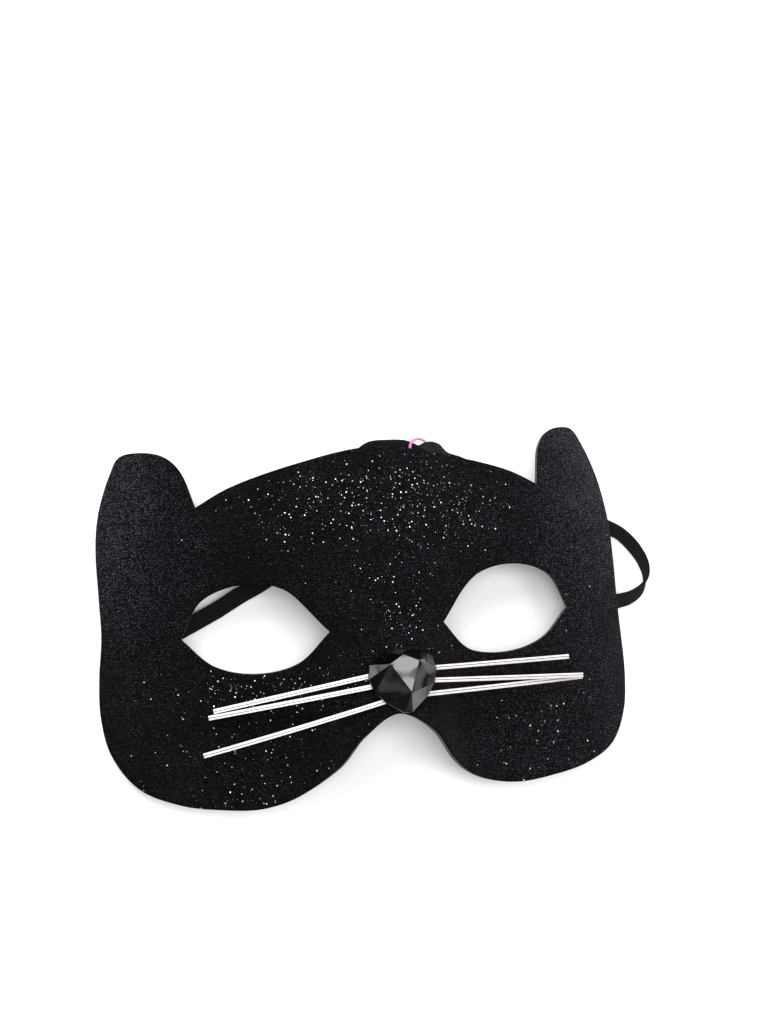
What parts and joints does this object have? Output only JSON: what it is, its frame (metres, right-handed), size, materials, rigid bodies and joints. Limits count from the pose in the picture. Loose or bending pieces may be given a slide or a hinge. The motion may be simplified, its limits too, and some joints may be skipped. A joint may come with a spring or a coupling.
{
  "type": "cat half mask",
  "caption": "Formed cat half mask with ears, eye holes, faceted nose stone, strip whiskers and a head elastic, lying face up.",
  "frame": {"origin": "middle of the mask's box on the plane that its side rims rest on, with the elastic and its thread loop left out", "axes": "+X across the mask to the viewer's right, +Y from the cheeks towards the ears, +Z out of the face, up from the table"},
  "size_m": [0.1755, 0.1078, 0.0386],
  "materials": {
    "mask_fabric": "matte black knit on thin foam sheet, with glued silver glitter flecks",
    "black_acrylic": "polished faceted black acrylic",
    "silver_strip": "silvered plastic strip with a lengthwise groove",
    "black_elastic": "matte black ribbed woven elastic",
    "pink_thread": "pink elastic thread"
  },
  "bodies": {
    "root": {"mask_shell": "mask_fabric", "nose_stone": "black_acrylic", "whisker_left_upper": "silver_strip", "whisker_left_middle": "silver_strip", "whisker_left_lower": "silver_strip", "whisker_right_upper": "silver_strip", "whisker_right_middle": "silver_strip", "whisker_right_lower": "silver_strip", "elastic_strap": "black_elastic", "tag_loop": "pink_thread"}
  },
  "joints": []
}
